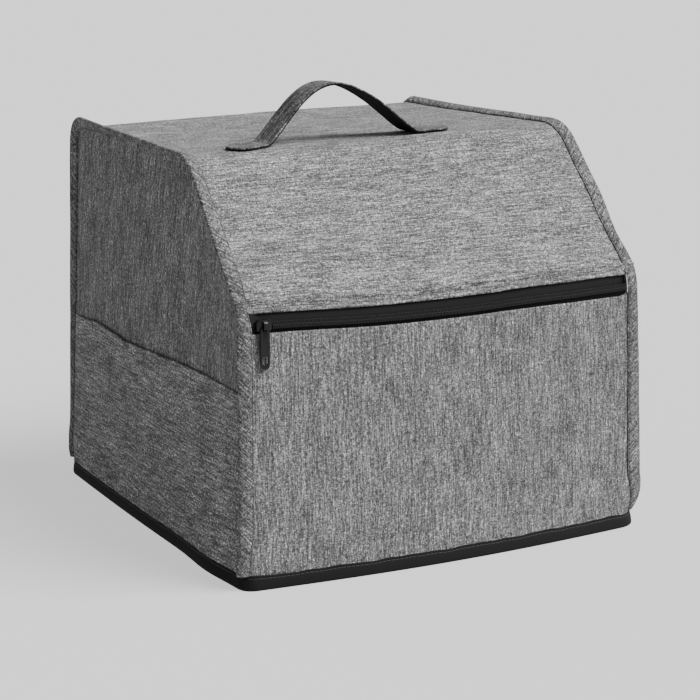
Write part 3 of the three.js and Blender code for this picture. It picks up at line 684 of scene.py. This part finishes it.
# The bindings' copies of the canvas are darker than the panels', and the left one is darker still:
# painted shade.
bias_left_painted_shade = woven_look("bias-cut heathered cloth, left, darker as painted shade", 0.073, 45, 9)
bias_right_painted_shade = woven_look("bias-cut heathered cloth, right, darker as painted shade", 0.083, 45, 9)
grain, grain_in, grain_out = new_group(
    "fine unevenness",
    [("Place", "NodeSocketVector", None), ("Per metre", "NodeSocketFloat", 1000.0)],
    [("Unevenness", "NodeSocketFloat")],
)
speckle = add_node(grain, "ShaderNodeTexNoise", -600, 0)
speckle.inputs["Detail"].default_value = 3
grain.links.new(grain_in.outputs["Place"], speckle.inputs["Vector"])
grain.links.new(grain_in.outputs["Per metre"], speckle.inputs["Scale"])
grain.links.new(speckle.outputs["Fac"], grain_out.inputs["Unevenness"])


def uneven_look(name, shade, roughness, specular, per_metre, relief):
    """A dark finish whose shade, gloss and surface vary finely."""
    look = bpy.data.materials.new(name)
    look.use_nodes = True
    tree = look.node_tree
    shader = tree.nodes["Principled BSDF"]
    shader.inputs["Specular IOR Level"].default_value = specular
    place = add_node(tree, "ShaderNodeTexCoord", -1100, 0)
    unevenness = add_node(tree, "ShaderNodeGroup", -850, 0, node_tree=grain)
    unevenness.inputs["Per metre"].default_value = per_metre
    tree.links.new(place.outputs["Object"], unevenness.inputs["Place"])
    for socket, span, least, y in (
        ("Base Color", shade, shade * 0.5, 150),
        ("Roughness", 0.2, roughness - 0.1, -50),
    ):
        varied = math_node(tree, "MULTIPLY_ADD", -500, y, unevenness.outputs["Unevenness"], span)
        varied.node.inputs[2].default_value = least
        tree.links.new(varied, shader.inputs[socket])
    raised = add_node(tree, "ShaderNodeBump", -500, -250)
    raised.inputs["Strength"].default_value = 0.3
    raised.inputs["Distance"].default_value = relief
    tree.links.new(unevenness.outputs["Unevenness"], raised.inputs["Height"])
    tree.links.new(raised.outputs["Normal"], shader.inputs["Normal"])
    return look


dark_thread = uneven_look("charcoal thread", 0.008, 0.7, 0.5, 2500, 0.00004)

# One stitch: a ball drawn out to a stitch's length, then copied along every seam.
bpy.ops.mesh.primitive_uv_sphere_add(segments=8, ring_count=7, radius=THREAD_ROUND)
stitch_model = bpy.context.object
stitch_points = np.array([vertex.co for vertex in stitch_model.data.vertices])
stitch_points[:, 2] += np.sign(stitch_points[:, 2]) * (STITCH_LONG / 2 - THREAD_ROUND)
stitch_faces = [list(face.vertices) for face in stitch_model.data.polygons]
bpy.ops.object.delete()


def sew(name, lines, look):
    """Rows of stitches, each row along a line of points with the directions off the cloth."""
    points, faces = [], []
    for line, normals in lines:
        reach = lengths_along(line, 0)
        for middle in np.arange(STITCH_APART / 2, reach[-1] - STITCH_APART / 2, STITCH_APART):
            ends = [
                np.array([np.interp(middle + d, reach, line[:, axis]) for axis in range(3)])
                for d in (-STITCH_LONG / 2, STITCH_LONG / 2)
            ]
            off = np.array([np.interp(middle, reach, normals[:, axis]) for axis in range(3)])
            way = unit(ends[1] - ends[0])
            off = unit(off - way * (off @ way))
            turned = stitch_points @ np.array([np.cross(off, way), off * THREAD_PRESSED, way])
            start = len(points) * len(stitch_points)
            points.append(turned + (ends[0] + ends[1]) / 2)
            faces += [[start + vertex for vertex in face] for face in stitch_faces]
    points = np.concatenate(points)
    return mesh_piece(name, points, faces, points[:, :2], look)


def backwards(run):
    return {key: value[::-1] for key, value in run.items()}


def ring_solid(name, rings, look, looped=False):
    """A solid through rings of points, whose last point is the first again."""
    rings = np.concatenate([rings, rings[:, :1]], 1)
    across = lengths_along(rings, 1)
    along = lengths_along(rings, 0).mean(1)
    places = np.stack([across, np.repeat(along[:, None], rings.shape[1], 1)], 2)
    faces = ring_faces(*rings.shape[:2], looped)
    return mesh_piece(name, rings.reshape(-1, 3), faces, places.reshape(-1, 2), look)


def side_binding(run, seed):
    """Rings through a binding, and the lines along which it is sewn."""
    foot = HEM_HEIGHT + BINDING_ABOVE_HEM
    run = backwards(cut_at(backwards(cut_at(run, foot, True)), foot, True))
    reach = lengths_along(run["p"], 0)[:, None]
    level = np.concatenate([reach, 0 * reach], 1)
    wobble = [
        EDGE_WAVER * smooth_noise(level, EDGE_WAVE_LONG, seed + k)[:, None] for k in range(3)
    ]
    lip = run["lip"] + wobble[0]
    above_zip = run["p"][:, 2:] - ZIP_TOP - SLANT_ABOVE
    slant = SLANT_AT_ZIP * (np.exp(-(above_zip / SLANT_REACH) ** 2) * (run["curl"] > 0))
    front = FRONT_EDGE + BINDING_HALF * np.tan(run["turn"] / 2) + wobble[1] + slant
    rear = REAR_EDGE - REAR_EDGE_DRAWN * np.sin(run["turn"]) + wobble[2] + slant
    tip = lip - BINDING_TIP
    ones = np.ones_like(lip)
    front_leg, rear_leg = (
        [
            (edge + LEG_FROM + (tip - edge - LEG_FROM) * share,
             way * (BINDING_HALF + BINDING_SWELL * sin(pi * share)) * ones)
            for share in LEG_SHARES
        ]
        for edge, way in ((front, 1), (rear, -1))
    )
    section = [(front + inward, height * ones) for inward, height in BINDING_EDGE] + front_leg
    for angle in np.radians(np.linspace(BINDING_TIP_ARC, -BINDING_TIP_ARC, 9)):
        section.append((tip + BINDING_TIP * cos(angle), BINDING_HALF * sin(angle) * ones))
    section += rear_leg[::-1]
    section += [(rear + inward, -height * ones) for inward, height in BINDING_EDGE[::-1]]
    section += [(tip + inward, height * ones) for inward, height in FOLD_INSIDE]
    rings = np.stack([lip_spot(run, a, b)[0] for a, b in section], 1)
    seams = []
    for reach, height in ((front + SEWN_IN, SEWN_HEIGHT), (rear + SEWN_IN, -SEWN_HEIGHT)):
        spot, off = lip_spot(run, reach, height)
        seams.append((spot, off * np.sign(height)))
    return rings, seams


for name, run, seed, look in (
    ("side_binding_left", left_run, 61, bias_left_painted_shade),
    ("side_binding_right", right_run, 71, bias_right_painted_shade),
):
    rings, seams = side_binding(run, seed)
    binding = ring_solid(name + "_cloth", rings, look)
    stitches = sew(name + "_stitches", seams, dark_thread)
    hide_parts(name)
    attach(binding, "root")
    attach(stitches, "root")

# The hem binding: black woven tape folded round all four lower edges and sewn through, its top
# edge a little uneven. The cover stands on its fold. Its section is given in rows of reach and
# height, and its unevenness in waves of height, count and phase.
HEM_SECTION = (
    (1.2, 11.6), (1.35, 12.1), (1.75, 12.3), (2.1, 12), (2.2, 11.3), (2.1, 10.5), (1.9, 10),
    (1.9, 9.7), (2.15, 9.1), (2.3, 7.6), (2.38, 5.4), (2.32, 3.2), (2.2, 1.6), (1.85, 0.6),
    (1.3, 0.1), (0.5, 0), (-0.5, 0), (-1.3, 0.1), (-1.85, 0.6), (-2.2, 1.6), (-2.3, 5.4),
    (-2.2, 10.4), (-1.8, 11.3), (-1.25, 11.1), (-1.2, 1.2), (-0.8, 1.0), (0.8, 1.0), (1.2, 1.2),
)
HEM_WAVES = ((0.35, 23, 1), (0.25, 41, 0), (0.2, 67, 0))
HEM_STATIONS = 720
HEM_EASE_PASSES = 4
HEM_SEWN = (1.95, 9.85)


def ribbed_tape(name, ribs, relief):
    """Black tape woven in fine ribs."""
    look = bpy.data.materials.new(name)
    look.use_nodes = True
    tree = look.node_tree
    shader = tree.nodes["Principled BSDF"]
    shader.inputs["Base Color"].default_value = (0.006, 0.006, 0.006, 1)
    shader.inputs["Roughness"].default_value = 0.85
    shader.inputs["Specular IOR Level"].default_value = 0.12
    layout = add_node(tree, "ShaderNodeUVMap", -900, -200, uv_map="cloth")
    rib_wave = add_node(tree, "ShaderNodeTexWave", -600, -200, bands_direction="DIAGONAL")
    rib_wave.inputs["Scale"].default_value = ribs
    rib_wave.inputs["Distortion"].default_value = 0.6
    raised = add_node(tree, "ShaderNodeBump", -300, -200)
    raised.inputs["Strength"].default_value = 0.5
    raised.inputs["Distance"].default_value = relief
    tree.links.new(layout.outputs["UV"], rib_wave.inputs["Vector"])
    tree.links.new(rib_wave.outputs["Fac"], raised.inputs["Height"])
    tree.links.new(raised.outputs["Normal"], shader.inputs["Normal"])
    return look


black_tape = ribbed_tape("black woven tape", 420, 0.0001)
hem_lines = []
left_side, right_side = side_grids["side_panel_left"], side_grids["side_panel_right"]
for level in (0, FINER):
    line = np.concatenate([
        lower_front[-1 - level], right_side[level, 1:-1][::-1],
        back_and_top[level][::-1], left_side[level, 1:-1],
    ])
    closed = np.concatenate([line, line[:1]])
    reach = lengths_along(closed, 0)
    places = np.linspace(0, reach[-1], HEM_STATIONS + 1)[:-1]
    line = np.stack([np.interp(places, reach, closed[:, axis]) for axis in range(3)], 1)
    for _ in range(HEM_EASE_PASSES):
        line = (np.roll(line, 1, 0) + 2 * line + np.roll(line, -1, 0)) / 4
    hem_lines.append(line)
hem_low, hem_high = hem_lines
hem_way = np.roll(hem_low, -1, 0) - np.roll(hem_low, 1, 0)
hem_out = unit(np.stack([hem_way[:, 1], -hem_way[:, 0], 0 * hem_way[:, 2]], 1))
hem_lean = (hem_high - hem_low) / (hem_high - hem_low)[:, 2:]
hem_lean[:, 2] = 0
hem_places = np.linspace(0, 2 * pi, len(hem_low), endpoint=False)[:, None]
hem_wave = sum(high * np.sin(count * hem_places + phase) for high, count, phase in HEM_WAVES)


def hem_point(reach, height):
    level = height + hem_wave * (height / HEM_HEIGHT) ** 2
    spot = hem_low + hem_lean * (level - hem_low[:, 2:]) + hem_out * reach
    return np.concatenate([spot[:, :2], level * np.ones((len(spot), 1))], 1)


hem_rings = np.stack([hem_point(*row) for row in HEM_SECTION], 1)
hem = ring_solid("hem_binding_cloth", hem_rings, black_tape, True)
hem_stitches = sew("hem_binding_stitches", [(hem_point(*HEM_SEWN), hem_out)], dark_thread)
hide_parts("hem_binding")
for piece in (hem, hem_stitches):
    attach(piece, "root")

# The zip: two black woven tapes, sewn behind the folded edges and into the side seams, and a nylon
# coil of two interlocked rows of teeth on them, from the slider to the right-hand end.
CHAIN_MIDDLE = 213.6
SLIDER_X = -169.2
SLIDER_LONG = 13
TAPE_DEPTH = 2.6
TAPE_THICK = 0.7
TAPE_TUCK = 7
TAPES_APART = 0.3
TAPE_INTO_SEAM = 6
TAPE_RAMP = 7
ZIP_END = PANEL / 2 + GAP + 0.05
zip_shares = np.concatenate([np.linspace(0, 0.05, 16)[:-1], np.linspace(0.05, 1, 80)])


def zip_strip(top, bottom, depth, from_x=-1000, past_seam=0):
    """A strip along the zip. One that runs on past the left seam comes forward into the lip."""
    left, right = (cut_at(cut_at(run, bottom, True), top, False) for run in (left_run, right_run))
    width = (right["p"] - left["p"])[:, :1]
    first = np.maximum(ZIP_END - past_seam, from_x - left["p"][:, :1]) / width
    last = 1 - ZIP_END / width
    shares = first + (last - first) * zip_shares[None, :]
    if past_seam:
        depth = depth * (np.clip(shares * width / TAPE_RAMP, 0, 1) ** 0.7)[..., None]
    return along_zip(between_seams(left, right, shares, depth))


zip_tape_grids = {
    "zip_tape_upper": zip_strip(
        ZIP_TOP + TAPE_TUCK, CHAIN_MIDDLE + TAPES_APART, TAPE_DEPTH, past_seam=TAPE_INTO_SEAM),
    "zip_tape_lower": zip_strip(
        CHAIN_MIDDLE - TAPES_APART, ZIP_BOTTOM - TAPE_TUCK, TAPE_DEPTH, past_seam=TAPE_INTO_SEAM),
}
for name, grid in zip_tape_grids.items():
    tape = cloth_sheet(name + "_cloth", grid, black_tape, TAPE_THICK)
    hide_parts(name)
    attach(tape, "root")

TOOTH_PITCH = 1.35
TOOTH_LONG = 3.3
TOOTH_SIZE = (0.95, 2.0)
TOOTH_DEPTH = -0.35
TOOTH_ROUND = 0.42
ROWS_OVERLAP = 0.25
CHAIN_LINE_HALF = 0.1
nylon = uneven_look("black nylon", 0.004, 0.55, 0.35, 1200, 0.00002)
bpy.ops.mesh.primitive_cube_add(size=1)
tooth_model = bpy.context.object
tooth_model.scale = (TOOTH_SIZE[0], TOOTH_SIZE[1], TOOTH_LONG)
bpy.ops.object.transform_apply(location=False, rotation=False, scale=True)
tooth_bevel = tooth_model.modifiers.new("rounded", "BEVEL")
tooth_bevel.width = TOOTH_ROUND
tooth_bevel.segments = 2
bpy.ops.object.modifier_apply(modifier=tooth_bevel.name)
tooth_points = np.array([vertex.co for vertex in tooth_model.data.vertices])
tooth_faces = [list(face.vertices) for face in tooth_model.data.polygons]
bpy.ops.object.delete()

chain_start = SLIDER_X + SLIDER_LONG / 2 + GAP
chain_strip = zip_strip(
    CHAIN_MIDDLE + CHAIN_LINE_HALF, CHAIN_MIDDLE - CHAIN_LINE_HALF, TOOTH_DEPTH, chain_start)
chain_line = chain_strip.mean(0)
chain_reach = lengths_along(chain_line, 0)
points, faces = [], []
for row, shift in ((1, 0), (-1, TOOTH_PITCH / 2)):
    for middle in np.arange(1 + shift, chain_reach[-1] - 1, TOOTH_PITCH):
        spot = np.array([np.interp(middle, chain_reach, chain_line[:, axis]) for axis in range(3)])
        start = len(points) * len(tooth_points)
        points.append(tooth_points + spot + (0, 0, row * (TOOTH_LONG / 2 - ROWS_OVERLAP)))
        faces += [[start + vertex for vertex in face] for face in tooth_faces]
points = np.concatenate(points)
coil = mesh_piece("zip_chain_coil", points, faces, points[:, :2], nylon)
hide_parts("zip_chain")
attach(coil, "root")

# The slider and its pull: black painted metal, the pull hanging from the slider's bridge. They are
# the modelled solids, with their edges eased.
METAL_EDGES = {"zip_slider": 0.00035, "zip_pull": 0.0003}
METAL_EDGE_ANGLE = 40
paint = uneven_look("black painted metal", 0.003, 0.28, 0.25, 700, 0.00001)
for name, ease in METAL_EDGES.items():
    metal = bpy.data.objects.new(name + "_metal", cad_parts[name].data.copy())
    bpy.context.scene.collection.objects.link(metal)
    bpy.context.view_layer.objects.active = metal
    metal.select_set(True)
    bpy.ops.object.mode_set(mode="EDIT")
    bpy.ops.mesh.select_all(action="SELECT")
    bpy.ops.mesh.remove_doubles(threshold=0.00001)
    bpy.ops.mesh.dissolve_limited(angle_limit=radians(1))
    bpy.ops.object.mode_set(mode="OBJECT")
    eased = metal.modifiers.new("eased edges", "BEVEL")
    eased.width = ease
    eased.segments = 2
    eased.limit_method = "ANGLE"
    eased.angle_limit = radians(METAL_EDGE_ANGLE)
    bpy.ops.object.modifier_apply(modifier=eased.name)
    bpy.ops.object.shade_smooth_by_angle(angle=radians(METAL_EDGE_ANGLE))
    metal.select_set(False)
    metal.data.materials.clear()
    metal.data.materials.append(paint)
    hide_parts(name)
    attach(metal, "root")

# The handle: the same canvas over black webbing, sewn together along both edges. It arches to the
# left of the middle, and its rounded ends are sewn flat to the top. Its rows are a place along it,
# its height there, and how far it drifts to the front.
STRAP_Y = -42
STRAP_WIDTH = 30
STRAP_THICK = 3
STRAP_BLUNT = 4
STRAP_COLUMNS = 17
COLUMN_UNDER_STRAP = 20
TOP_CLOTH_FROM = 325
TOP_CLOTH_Y = -45
TOP_CLOTH_REACH = 50
LAYER_THICK = 1.3
CLOTH_RAISED = 0.7
WEBBING_LOWERED = 0.65
WEBBING_SHARE = 0.95
STRAP_SEWN_AT = 0.84
STRAP_SEWN_HEIGHT = 1.26
STRAP_ROWS_UNSEWN = 6
HANDLE_ARCH = (
    (-134, 0, -13), (-116, 0, -10), (-99, 0.3, -4), (-88, 8, 0), (-75, 22.5, 0), (-62, 35.5, 0),
    (-50, 43.5, 0), (-38, 47, 0), (-25, 46.3, 0), (-13, 42.5, 0), (0, 35.8, 0), (14, 26.5, 0),
    (28, 15.5, 0), (39, 6.5, 0), (48, 0.8, 0), (62, 0, 0), (85, 0, 0),
)
ARCH_STEPS = 16


def smooth_arch(spots):
    """A curve through the spots, eased by the distances between them."""
    spots = np.array(spots, float)
    spots = np.concatenate([2 * spots[:1] - spots[1:2], spots, 2 * spots[-1:] - spots[-2:-1]])
    curve = []
    for i in range(1, len(spots) - 2):
        a, b, c, d = spots[i - 1:i + 3]
        first, second, third = (sqrt(np.linalg.norm(q - p)) for p, q in ((a, b), (b, c), (c, d)))
        leave = ((b - a) / first - (c - a) / (first + second) + (c - b) / second) * second
        arrive = ((c - b) / second - (d - b) / (second + third) + (d - c) / third) * second
        for t in np.arange(ARCH_STEPS) / ARCH_STEPS:
            bend = (3 * (c - b) - 2 * leave - arrive) * t ** 2
            bend = bend + (2 * (b - c) + leave + arrive) * t ** 3
            curve.append(b + leave * t + bend)
    curve.append(spots[-2])
    return np.array(curve)


# The strap is laid on the top cloth nearest under it, and lifted from there.
arch = smooth_arch(HANDLE_ARCH)
to_end = np.minimum(arch[:, 0] - arch[0, 0], arch[-1, 0] - arch[:, 0])
free = np.maximum(STRAP_WIDTH / 2 - to_end, 0)
reach = np.maximum(np.sqrt((STRAP_WIDTH / 2) ** 2 - free ** 2), STRAP_BLUNT)
across = np.linspace(-1, 1, STRAP_COLUMNS)
top_line = back_and_top[:, COLUMN_UNDER_STRAP]
near_strap = np.abs(top_line[:, 1] - TOP_CLOTH_Y) < TOP_CLOTH_REACH
top_cloth = back_and_top[(top_line[:, 2] > TOP_CLOTH_FROM) & near_strap].reshape(-1, 3)
strap = np.zeros((len(arch), len(across), 3))
strap[..., 0] = arch[:, :1]
strap[..., 1] = STRAP_Y + arch[:, 2:] + across * reach[:, None]
for i, j in np.ndindex(strap.shape[:2]):
    apart = (top_cloth[:, 0] - strap[i, j, 0]) ** 2 + (top_cloth[:, 1] - strap[i, j, 1]) ** 2
    nearest = np.argsort(apart)[:4]
    weights = 1 / (apart[nearest] + 0.01)
    strap[i, j, 2] = (top_cloth[nearest, 2] * weights).sum() / weights.sum()
strap[..., 2] += PANEL / 2 + GAP / 2 + STRAP_THICK / 2 + np.maximum(arch[:, 1:2], 0)
strap_up = grid_normals(strap)
strap_up *= np.sign(strap_up[..., 2:])
# The handle's copy of the canvas is much darker than the panels': painted shade.
handle_look_painted_shade = woven_look("heathered cloth on the handle, darker as painted shade", 0.06, 90, 9, 0.5)
webbing = ribbed_tape("black webbing", 260, 0.0002)
middle = STRAP_COLUMNS // 2
strap_middle = strap[:, middle:middle + 1]
webbing_strip = strap_middle + (strap - strap_middle) * WEBBING_SHARE
handle_top = cloth_sheet("handle_cloth", strap + strap_up * CLOTH_RAISED, handle_look_painted_shade, LAYER_THICK)
handle_back = cloth_sheet(
    "handle_webbing", webbing_strip - strap_up * WEBBING_LOWERED, webbing, LAYER_THICK)
sewn_rows = slice(STRAP_ROWS_UNSEWN, -STRAP_ROWS_UNSEWN)
sewn_middle, sewn_up = strap[sewn_rows, middle], strap_up[sewn_rows, middle]
handle_seams = []
for side in (-STRAP_SEWN_AT, STRAP_SEWN_AT):
    line = sewn_middle + (strap[sewn_rows, -1] - sewn_middle) * side + sewn_up * STRAP_SEWN_HEIGHT
    handle_seams.append((line, sewn_up))
handle_stitches = sew("handle_stitches", handle_seams, dark_thread)
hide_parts("handle")
for piece in (handle_top, handle_back, handle_stitches):
    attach(piece, "root")
